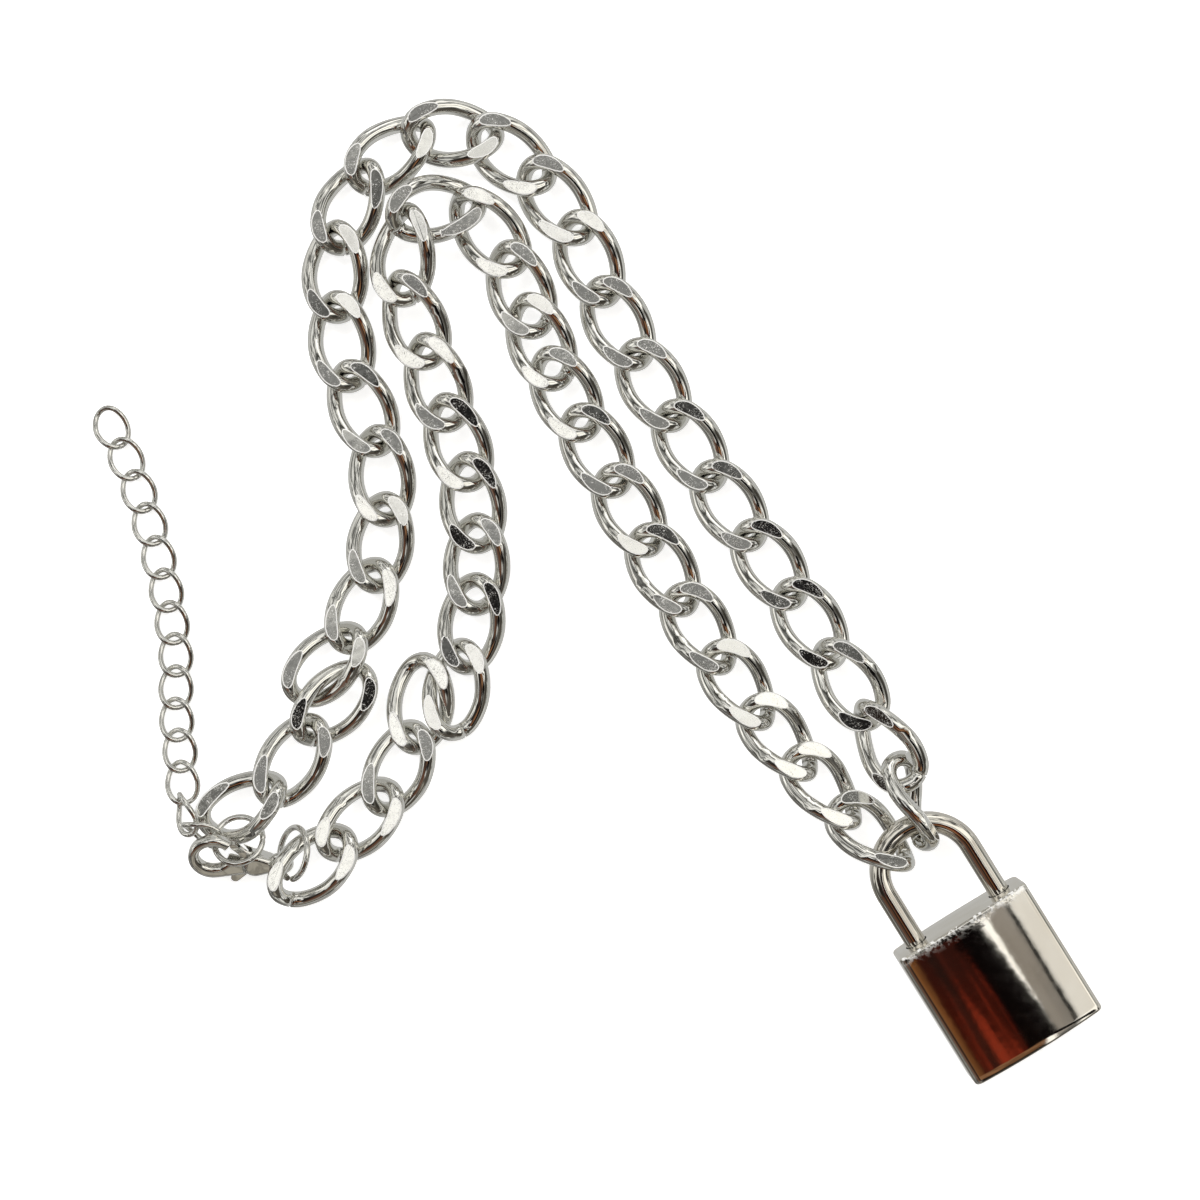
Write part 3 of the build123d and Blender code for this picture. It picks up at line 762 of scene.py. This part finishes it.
def solid_axes(triangles: ndarray) -> Spot:
    """Middle of a solid and its own axes, longest first.

    Args:
        triangles: The corners of its closed surface's triangles.

    Returns:
        Its centre of mass and a turn whose columns are its axes.
    """
    # Sums over the tetrahedra that the triangles make with one point near the middle
    about = triangles.reshape(-1, 3).mean(0)
    a, b, c = (triangles - about).transpose(1, 0, 2)
    volumes = np.einsum("ij,ij->i", a, np.cross(b, c)) / 6
    centre = ((a + b + c) * volumes[:, None]).sum(0) / 4 / volumes.sum()
    corners = np.stack([a, b, c, np.zeros_like(a)], 1) - centre
    total = corners.sum(1)
    spread = np.einsum("n,nij,nik->jk", volumes, corners, corners) / 20
    spread = spread + np.einsum("n,nj,nk->jk", volumes, total, total) / 20
    sizes, axes = np.linalg.eigh(spread / volumes.sum())
    along, across = axes[:, np.argmax(sizes)], axes[:, np.argsort(sizes)[1]]
    up = np.cross(along, across)
    if up[2] < 0:
        across, up = -across, -up
    turn = Matrix(np.column_stack([along, across, up]).tolist())
    return Vector(centre + about), turn


@dataclass
class TwistedLink:
    """One link: an oval of round wire turned about its length, with flats cut on its two faces.

    Lengths are in millimetres, and the twist is in degrees from the middle to half a pitch.
    """

    length: float
    width: float
    wire: float
    twist: float
    pitch: float
    cut: float = 0.0
    sides: int = 20
    steps: int = 76
    seam_at: float = 0.0
    seam_depth: float = 0.22
    seam_half: float = 0.1
    seam_room: float = 0.25
    rim_highlight: float = 0.15
    rim_rise: float = 0.01

    def quarter_arcs(self) -> list[tuple[ndarray, ndarray, ndarray]]:
        """Find the two arcs of a quarter of the oval.

        Returns:
            Start, way and end of each.
        """
        half_length = (self.length - self.wire) / 2
        half_width = (self.width - self.wire) / 2
        rate = -math.radians(self.twist) / (self.pitch / 2)
        end = np.array([half_length, 0.0, 0.0])
        side = np.array([0.0, half_width, 0.0])
        end_way = np.array([0.0, math.cos(rate * half_length), math.sin(rate * half_length)])
        side_way = np.array([-1.0, 0.0, -half_width * rate])
        side_way /= np.linalg.norm(side_way)
        # Two arcs of equal reach that leave both ends along their ways and meet smoothly
        chord = side - end
        square = 2 * (end_way @ side_way - 1)
        line = -2 * chord @ (end_way + side_way)
        root = math.sqrt(line * line - 4 * square * (chord @ chord))
        reach = max((-line - root) / (2 * square), (-line + root) / (2 * square))
        joint = (end + side + (end_way - side_way) * reach) / 2
        first = joint - end
        far_way = 2 * first * (first @ end_way) / (first @ first) - end_way
        return [(end, end_way, joint), (joint, far_way, side)]

    def centreline(self) -> tuple[ndarray, ndarray]:
        """Points of the wire's middle, evenly spaced, and its radius at each, in millimetres.

        Returns:
            The closed line, from the end on +X round by +Y, and the radii, less at the butt joint.
        """
        quarter = np.vstack([arc_points(*arc, ARC_STEPS) for arc in self.quarter_arcs()])
        top = np.vstack([quarter, [0.0, (self.width - self.wire) / 2, 0.0]])
        half = np.vstack([top, (top * [-1, 1, -1])[-2:0:-1]])
        whole = np.vstack([half, half * [-1, -1, 1]])
        whole = np.vstack([whole, whole[:1]])
        passed = np.concatenate([[0], np.cumsum(np.linalg.norm(np.diff(whole, axis=0), axis=1))])
        at = list(np.linspace(0, passed[-1], self.steps, endpoint=False))
        seam = self.seam_at % passed[-1]
        at = [s for s in at if abs(s - seam) > self.seam_room]
        at = sorted(at + [seam - self.seam_half, seam, seam + self.seam_half])
        points = np.column_stack([np.interp(at, passed, whole[:, k], period=passed[-1]) for k in range(3)])
        return points, np.where(np.isclose(at, seam), self.wire / 2 - self.seam_depth, self.wire / 2)

    def cut_flats(self, shape: BMesh, top: float, tilts: Sequence[Pair]) -> None:
        """Plane off the link's high spots, two on each face, and dress their rims.

        Args:
            shape: The wire's mesh in millimetres.
            top: Height of the flats above the link's middle.
            tilts: For each flat, how its cut leans along X and Y, in degrees.
        """
        flat, rim_highlight = (shape.faces.layers.float.new(mark) for mark in (FLAT_MARK, RIM_HIGHLIGHT_MARK))
        quarters = [(sx, sz) for sz in (1, -1) for sx in (1, -1)]
        for (sx, sz), (lean_x, lean_y) in zip(quarters, tilts):
            near = [face for face in shape.faces if face.calc_center_median().x * sx > 0]
            geom = {e for face in near for e in (*face.verts, *face.edges)} | set(near)
            normal = Vector((math.tan(math.radians(lean_x)), math.tan(math.radians(lean_y)), 1.0))
            normal.z *= sz
            highest = max((v for face in near for v in face.verts), key=lambda v: v.co.z * sz).co
            at = Vector((highest.x, highest.y, sz * top))
            plane = {"plane_co": at, "plane_no": normal, "clear_outer": True, "dist": 1e-5}
            bmesh.ops.bisect_plane(shape, geom=list(geom), **plane)
            open_edges = [edge for edge in shape.edges if edge.is_boundary]
            bmesh.ops.holes_fill(shape, edges=open_edges, sides=0)
        flats = sorted(shape.faces, key=lambda f: f.calc_area(), reverse=True)[:4]
        for face in shape.faces:
            face.smooth = True
        self.harden(flats)
        sizes = {"thickness": self.rim_highlight, "depth": self.rim_rise}
        for face in bmesh.ops.inset_individual(shape, faces=flats, **sizes)["faces"]:
            face[rim_highlight] = 1.0
        for face in flats:
            face[flat] = 1.0
        self.harden(flats)

    @staticmethod
    def harden(faces: Sequence[bmesh.types.BMFace]) -> None:
        """Make the edges of some faces sharp."""
        for edge in {edge for face in faces for edge in face.edges}:
            edge.smooth = False

    def mesh(self, name: str, tilts: Sequence[Pair] = ()) -> Mesh:
        """Build the link about its own middle.

        Args:
            name: The mesh's name.
            tilts: How each flat's cut leans, in degrees; a link without flats has none.

        Returns:
            The mesh in metres.
        """
        line, radii = self.centreline()
        shape = tube_mesh(line, radii, self.sides, closed=True)
        if self.cut:
            self.cut_flats(shape, line[:, 2].max() + self.wire / 2 - self.cut, tilts)
        return plain_mesh(name, shape, Matrix())


class LinkTree:
    """Geometry nodes that set one of several links on each point and turn it as the point says."""

    INPUTS = {"Points": "Geometry", "Links": "Collection", "Link Size": "Float", "Finish": "Material"}

    def __init__(self) -> None:
        """Build the tree with named inputs."""
        tree = bpy.data.node_groups.new("links_on_points", "GeometryNodeTree")
        self.graph = Graph(tree)
        add = tree.interface.new_socket
        self.keys = {
            name: add(name, in_out="INPUT", socket_type="NodeSocket" + kind).identifier
            for name, kind in self.INPUTS.items()
        }
        add("Chain", in_out="OUTPUT", socket_type="NodeSocketGeometry")
        node = self.graph.node
        given = node("NodeGroupInput")
        choice = {"Collection": given.out("Links"), "Separate Children": True, "Reset Children": True}
        turn, kind = [
            node("GeometryNodeInputNamedAttribute", {"data_type": data}, {"Name": mark}).out("Attribute")
            for data, mark in (("FLOAT_VECTOR", TURN_MARK), ("INT", KIND_MARK))
        ]
        placing = {
            "Points": given.out("Points"),
            "Instance": node("GeometryNodeCollectionInfo", None, choice),
            "Pick Instance": True,
            "Instance Index": kind,
            "Rotation": node("FunctionNodeEulerToRotation", None, {"Euler": turn}),
            "Scale": given.out("Link Size"),
        }
        placed = node("GeometryNodeInstanceOnPoints", None, placing)
        real = node("GeometryNodeRealizeInstances", None, {"Geometry": placed})
        dress = {"Geometry": real, "Material": given.out("Finish")}
        node("NodeGroupOutput", None, {"Chain": node("GeometryNodeSetMaterial", None, dress)})

    def grow(self, points: Object, links: Collection, finish: Material) -> Mesh:
        """Run the tree on an object's points.

        Args:
            points: Object whose vertices are the links' middles.
            links: Collection with the kinds of link.
            finish: Material of the links.

        Returns:
            The whole chain as one plain mesh.
        """
        modifier = points.modifiers.new("links", "NODES")
        modifier.node_group = self.graph.tree
        for name, given in (("Links", links), ("Link Size", 1.0), ("Finish", finish)):
            modifier[self.keys[name]] = given
        bpy.context.view_layer.update()
        mesh = modified_mesh(points)
        points.modifiers.remove(modifier)
        return mesh


@dataclass
class Strand:
    """A chain: finds where the links of a CAD node lie and sets finer ones there."""

    node: str
    slot: str
    finish: Material
    link: TwistedLink
    tree: LinkTree
    seed: int = 0
    tones: str = ""
    flat_at: Triple = (4.1, 2.25, 1.94)
    loose_lean: float = 0.3
    most_lean: float = 11.0

    def order(self, spots: list[Spot]) -> list[Spot]:
        """Put the links in the order in which the chain runs, each with its own X towards the south.

        Args:
            spots: Middle and turn of each link.

        Returns:
            The same, from the end with the largest x.
        """
        half_turn = Matrix.Rotation(math.pi, 3, "Z")
        left = [(middle, turn @ half_turn if turn.col[0].y > 0 else turn) for middle, turn in spots]
        row = [max(left, key=lambda spot: spot[0].x)]
        left.remove(row[0])
        while left:
            row.append(min(left, key=lambda spot: (spot[0] - row[-1][0]).length))
            left.remove(row[-1])
        return row

    def lean(self, tone: Tone, spot: Spot, end: int, chance: random.Random) -> Pair:
        """Find how a flat's cut leans for the tone that the photograph shows.

        Args:
            tone: The tone.
            spot: The link's middle and turn.
            end: 1 for the flat at the link's lower end and -1 for the other.
            chance: Source of the small leans of hand-held cutting.

        Returns:
            The lean along the link's own X and Y, in degrees.
        """
        middle, turn = spot
        x, y, z = self.flat_at
        place = middle + turn @ Vector((end * x, -end * y, z)) * MM
        seen = (place - Vector((*PHOTO_MIDDLE_MM, CAMERA_HEIGHT_MM)) * MM).normalized()
        level = seen - 2 * seen.dot(turn.col[2]) * turn.col[2]
        mirrored = Vector((level.x, level.y)) / max(level.z, LEAST_RISE)
        target = DARK_SPOT
        if tone is Tone.GREY:
            target = DARK_SPOT + (mirrored - DARK_SPOT).normalized() * GREY_REACH
        if tone in PANELS:
            target = min(map(Vector, PANELS[tone]), key=lambda panel: (panel - mirrored).length)
        normal = turn.transposed() @ (Vector((*target, 1.0)).normalized() - seen)
        leans = [math.degrees(math.atan2(part, normal.z)) for part in normal[:2]]
        limit = min(1.0, self.most_lean / max(math.hypot(*leans), 1e-6))
        return tuple(lean * limit + chance.gauss(0.0, self.loose_lean) for lean in leans)

    def make_kinds(self, spots: list[Spot]) -> list[Mesh]:
        """Cut each link's flats as the photograph shows them.

        Args:
            spots: Middle and turn of each link, in order.

        Returns:
            A mesh for each link, or one for all where the links have no flats.
        """
        if not self.tones:
            return [self.link.mesh(self.node + "_link")]
        chance = random.Random(self.seed)
        kinds = []
        for number, (spot, letters) in enumerate(zip(spots, self.tones.split(), strict=True)):
            leans = [self.lean(Tone(a), spot, end, chance) for a, end in zip(letters, (1, -1))]
            leans += [(chance.gauss(0.0, self.loose_lean), chance.gauss(0.0, self.loose_lean))] * 2
            kinds.append(self.link.mesh(f"{self.node}_link_{number:02d}", leans))
        return kinds

    def points(self, spots: list[Spot]) -> Object:
        """Make the object whose vertices carry the links.

        Args:
            spots: Middle and turn of each link, in order.

        Returns:
            An object with a turn and a kind at each vertex.
        """
        mesh = bpy.data.meshes.new(self.node + "_points")
        mesh.from_pydata([spot[0] for spot in spots], [], [])
        mesh.attributes.new(TURN_MARK, "FLOAT_VECTOR", "POINT")
        mesh.attributes.new(KIND_MARK, "INT", "POINT")
        turns, kinds = mesh.attributes[TURN_MARK], mesh.attributes[KIND_MARK]
        for i, (_, turn) in enumerate(spots):
            turns.data[i].vector = turn.to_euler()
            kinds.data[i].value = i if self.tones else 0
        return set_down(mesh.name, mesh)

    def make(self) -> None:
        """Build the chain."""
        shape = welded(self.node)
        spots = self.order([solid_axes(part) for part in loose_parts(shape)])
        shape.free()
        links = bpy.data.collections.new(self.node + "_kinds")
        bpy.context.scene.collection.children.link(links)
        for number, mesh in enumerate(self.make_kinds(spots)):
            links.objects.link(bpy.data.objects.new(f"{self.node}_kind_{number:02d}", mesh))
        points = self.points(spots)
        mesh = self.tree.grow(points, links, self.finish)
        for spare in [points, *links.objects]:
            bpy.data.objects.remove(spare)
        bpy.data.collections.remove(links)
        add_piece(self.node + "_links", mesh, self.finish, NECKLACE, self.slot, self.node)


@dataclass
class WireRing:
    """A ring of round wire with a mouth, set where a CAD node's ring lies."""

    node: str
    outer: float
    wire: float
    mouth: float
    finish: Material
    nipped: float = 0.86
    sides: int = 20
    steps: int = 90

    def fit_circle(self) -> tuple[ndarray, ndarray, ndarray]:
        """Fit the ring of the CAD node.

        Returns:
            Its centre in metres, the direction away from its mouth and the one square to that.
        """
        shape = welded(self.node)
        points = np.array([vertex.co[:] for vertex in shape.verts])
        shape.free()
        about = points.mean(0)
        u, v, _ = np.linalg.svd(points - about)[2]
        flat = np.column_stack([(points - about) @ u, (points - about) @ v])
        sums = np.column_stack([2 * flat, np.ones(len(flat))])
        fit = np.linalg.lstsq(sums, (flat**2).sum(1), rcond=None)[0]
        centre = about + fit[0] * u + fit[1] * v
        back = about - centre
        normal = np.cross(u, v)
        back = back - normal * (back @ normal)
        back /= np.linalg.norm(back)
        return centre, back, np.cross(normal, back)

    def make(self) -> None:
        """Build the ring."""
        centre, back, side = self.fit_circle()
        radius = (self.outer - self.wire) / 2
        half_open = self.mouth / radius / 2
        angles = np.linspace(-math.pi + half_open, math.pi - half_open, self.steps)
        line = radius * (np.cos(angles)[:, None] * back + np.sin(angles)[:, None] * side)
        radii = np.full(self.steps, self.wire / 2)
        radii[[0, -1]] *= self.nipped
        shape = tube_mesh(line, radii, self.sides, closed=False)
        mesh = plain_mesh(self.node, shape, Matrix.Translation(centre))
        add_piece(self.node + "_wire", mesh, self.finish, NECKLACE, "ring_metal", self.node)


@dataclass
class Casting:
    """A small cast piece: a CAD node's form with its edges softened as polishing leaves them."""

    node: str
    body: str
    finish: Material
    grain: float = 0.075
    polish: float = 0.5
    rounds: int = 7

    def make(self) -> None:
        """Build the casting."""
        rough = set_down(self.node + "_rough", plain_mesh(self.node, welded(self.node)))
        remesh = rough.modifiers.new("grain", "REMESH")
        remesh.mode = "VOXEL"
        remesh.voxel_size = self.grain * MM
        soften = rough.modifiers.new("polish", "SMOOTH")
        soften.factor = self.polish
        soften.iterations = self.rounds
        cast = modified_mesh(rough)
        bpy.data.objects.remove(rough)
        for face in cast.polygons:
            face.use_smooth = True
        add_piece(self.node + "_cast", cast, self.finish, self.body, "clasp_metal", self.node)


@dataclass
class Padlock:
    """The padlock: a bulged body with two leg holes, and the shackle that they hold."""

    body_finish: Material
    shackle_finish: Material
    width: float = 19.5
    height: float = 19.5
    depth: float = 8.4
    bulge: float = 0.9
    side_round: float = 1.1
    edge_round: float = 0.35
    shackle_wire: float = 2.8
    span: float = 12.9
    rise: float = 7.3
    long_seat: float = 9.0
    short_seat: float = 3.4
    seat_play: float = 0.16
    seat_below: float = 0.6
    overshoot: float = 1.0
    wear_and_highlight_drop: float = 1.3
    wear_and_highlight_back: float = 1.6
    wear_and_highlight_edge: float = 0.02
    sharp: float = 42.0
    sides: int = 40
    levels: int = 26
    face_steps: int = 31
    corner_steps: int = 12
    bow_steps: int = 61
    leg_steps: tuple[int, int] = (24, 17)

    def place(self) -> Matrix:
        """Find the body in the frame.

        Returns:
            A matrix in metres whose origin is the middle of the body's foot: X across, Y up the body.
        """
        slide = next(joint for joint in frame["joints"] if joint["name"] == "padlock_opens")
        up = -Vector(slide["axis"]).normalized()
        low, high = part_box("padlock_body")
        middle = (Vector(low) + Vector(high)) / 2
        across = up.cross(Vector((0.0, 0.0, 1.0)))
        turn = Matrix((across, up, across.cross(up))).transposed().to_4x4()
        return Matrix.Translation(middle - up * self.height / 2 * MM) @ turn

    def outline(self, inset: float) -> list[Pair]:
        """The body's section, seen from its top.

        Args:
            inset: How far inside the full section it lies, at the rounded edges.

        Returns:
            Points across and through the body.
        """
        half_width = self.width / 2
        radius = (half_width**2 + self.bulge**2) / (2 * self.bulge)
        middle = self.depth / 2 - radius
        inner = radius - self.side_round
        corner_x = half_width - self.side_round
        corner_y = middle + math.sqrt(inner**2 - corner_x**2)
        lean = math.atan2(corner_x, corner_y - middle)
        face_r, round_r = radius - inset, self.side_round - inset
        leans = np.linspace(0.0, lean, self.face_steps)
        right = [(face_r * math.sin(a), middle + face_r * math.cos(a)) for a in leans]
        turns = np.linspace(math.pi / 2 - lean, 0.0, self.corner_steps)[1:]
        right += [(corner_x + round_r * math.cos(a), corner_y + round_r * math.sin(a)) for a in turns]
        front = [(-x, y) for x, y in reversed(right[1:])] + right
        return front + [(x, -y) for x, y in reversed(front)]

    def body_mesh(self) -> BMesh:
        """Build the body without its holes, standing on its foot along Y.

        Returns:
            The mesh in millimetres.
        """
        r = self.edge_round
        bends = [math.radians(a) for a in (0, 30, 60, 90)]
        foot = [(r * (1 - math.sin(a)), r * (1 - math.cos(a))) for a in bends]
        levels = foot + [(0.0, y) for y in np.linspace(r, self.height - r, self.levels)[1:-1]]
        levels += [(inset, self.height - y) for inset, y in reversed(foot)]
        shape = bmesh.new()
        rings = [[shape.verts.new((x, y, z)) for x, z in self.outline(inset)] for inset, y in levels]
        join_rings(shape, rings)
        shape.faces.new(rings[0])
        shape.faces.new(rings[-1])
        bmesh.ops.recalc_face_normals(shape, faces=shape.faces)
        return shape

    def drill(self, body: Object) -> Mesh:
        """Cut the two leg holes.

        Args:
            body: Object of the solid body.

        Returns:
            The body's mesh with its holes.
        """
        drills = bmesh.new()
        for side, seat in ((-1, self.long_seat), (1, self.short_seat)):
            depth = seat + self.seat_below + self.overshoot
            radius = self.shackle_wire / 2 + self.seat_play
            middle = (side * self.span / 2, self.height + self.overshoot - depth / 2, 0.0)
            at = Matrix.Translation(middle) @ Matrix.Rotation(math.pi / 2, 4, "X")
            bmesh.ops.create_cone(drills, cap_ends=True, segments=self.sides, radius1=radius,
                                  radius2=radius, depth=depth, matrix=at)
        tool = set_down("drills", plain_mesh("drills", drills))
        cut = body.modifiers.new("holes", "BOOLEAN")
        cut.object = tool
        cut.solver = "EXACT"
        drilled = modified_mesh(body)
        bpy.data.objects.remove(tool)
        return drilled

    def make_body(self) -> None:
        """Build the body."""
        solid = set_down("solid_body", plain_mesh("solid_body", self.body_mesh()))
        shape = bmesh.new()
        shape.from_mesh(self.drill(solid))
        bpy.data.objects.remove(solid)
        smooth_faces(shape, self.sharp)
        # A band along the top of the front face that takes worn plating and a painted highlight
        wear_and_highlight = shape.verts.layers.float.new(WEAR_AND_HIGHLIGHT_MARK)
        for vertex in shape.verts:
            rise = vertex.co.y - self.height + self.wear_and_highlight_drop
            front = vertex.co.z > self.depth / 2 - self.wear_and_highlight_back and rise < self.wear_and_highlight_drop - self.wear_and_highlight_edge
            vertex[wear_and_highlight] = min(max(rise, 0.0), 1.0) if front else 0.0
        mesh = plain_mesh("case", shape, self.place())
        add_piece("padlock_case", mesh, self.body_finish, PADLOCK, "padlock_metal", "padlock_body")

    def make_shackle(self) -> None:
        """Build the shackle."""
        half = self.span / 2
        bow = self.height + self.rise
        foot, toe = self.height - self.long_seat, self.height - self.short_seat
        left_steps, right_steps = self.leg_steps
        left = [(-half, y, 0.0) for y in np.linspace(foot, bow, left_steps, endpoint=False)]
        turns = np.linspace(0, math.pi, self.bow_steps)
        arc = [(-half * math.cos(a), bow + half * math.sin(a), 0.0) for a in turns]
        right = [(half, y, 0.0) for y in np.linspace(bow, toe, right_steps)[1:]]
        line = np.array(left + arc + right)
        radii = np.full(len(line), self.shackle_wire / 2)
        mesh = plain_mesh("shackle", tube_mesh(line, radii, self.sides, closed=False), self.place())
        add_piece("padlock_bow", mesh, self.shackle_finish, NECKLACE, "shackle_metal", "padlock_shackle")


def build_necklace() -> None:
    """Build and dress every piece of the necklace."""
    chain_metal = PolishedMetal("chain_metal", roughness=0.06, worn=0.42).make()
    wire_metal = PolishedMetal("wire_metal", roughness=0.08).make()
    clasp_metal = PolishedMetal("clasp_metal", roughness=0.06, ripple=1.0, ripple_scale=300.0).make()
    warm = {"colour": (0.77, 0.745, 0.69), "tint": (0.69, 0.65, 0.58)}
    case = {"roughness": 0.05, "patches": 0.02, "ripple": 0.014, "brushed": 0.1}
    case_metal = PolishedMetal("case_metal", **warm, **case).make()
    bow_metal = PolishedMetal("bow_metal", **warm, roughness=0.06, patches=0.03).make()
    curb = TwistedLink(14.0, 9.13, 2.13, 35.0, 9.3, cut=0.45, seam_at=1.9)
    fine = TwistedLink(6.29, 4.85, 0.72, 24.0, 4.6, sides=12, steps=44, seam_depth=0.04)
    tree = LinkTree()
    Strand("curb_chain_outer", "chain_metal", chain_metal, curb, tree, 3, OUTER_TONES).make()
    Strand("curb_chain_inner", "chain_metal", chain_metal, curb, tree, 8, INNER_TONES).make()
    Strand("extender_chain", "extender_metal", wire_metal, fine, tree).make()
    WireRing("jump_ring_extender", 7.3, 0.8, 0.08, wire_metal).make()
    WireRing("jump_ring_clasp", 7.7, 0.84, 1.1, wire_metal).make()
    Casting("clasp_body", NECKLACE, clasp_metal).make()
    Casting("clasp_lever", LEVER, clasp_metal, grain=0.06).make()
    padlock = Padlock(case_metal, bow_metal)
    padlock.make_body()
    padlock.make_shackle()


def main() -> None:
    """Build the scene and note its size."""
    logging.basicConfig(level=logging.INFO, format="%(message)s")
    Studio().make()
    build_necklace()


if __name__ == "__main__":
    main()
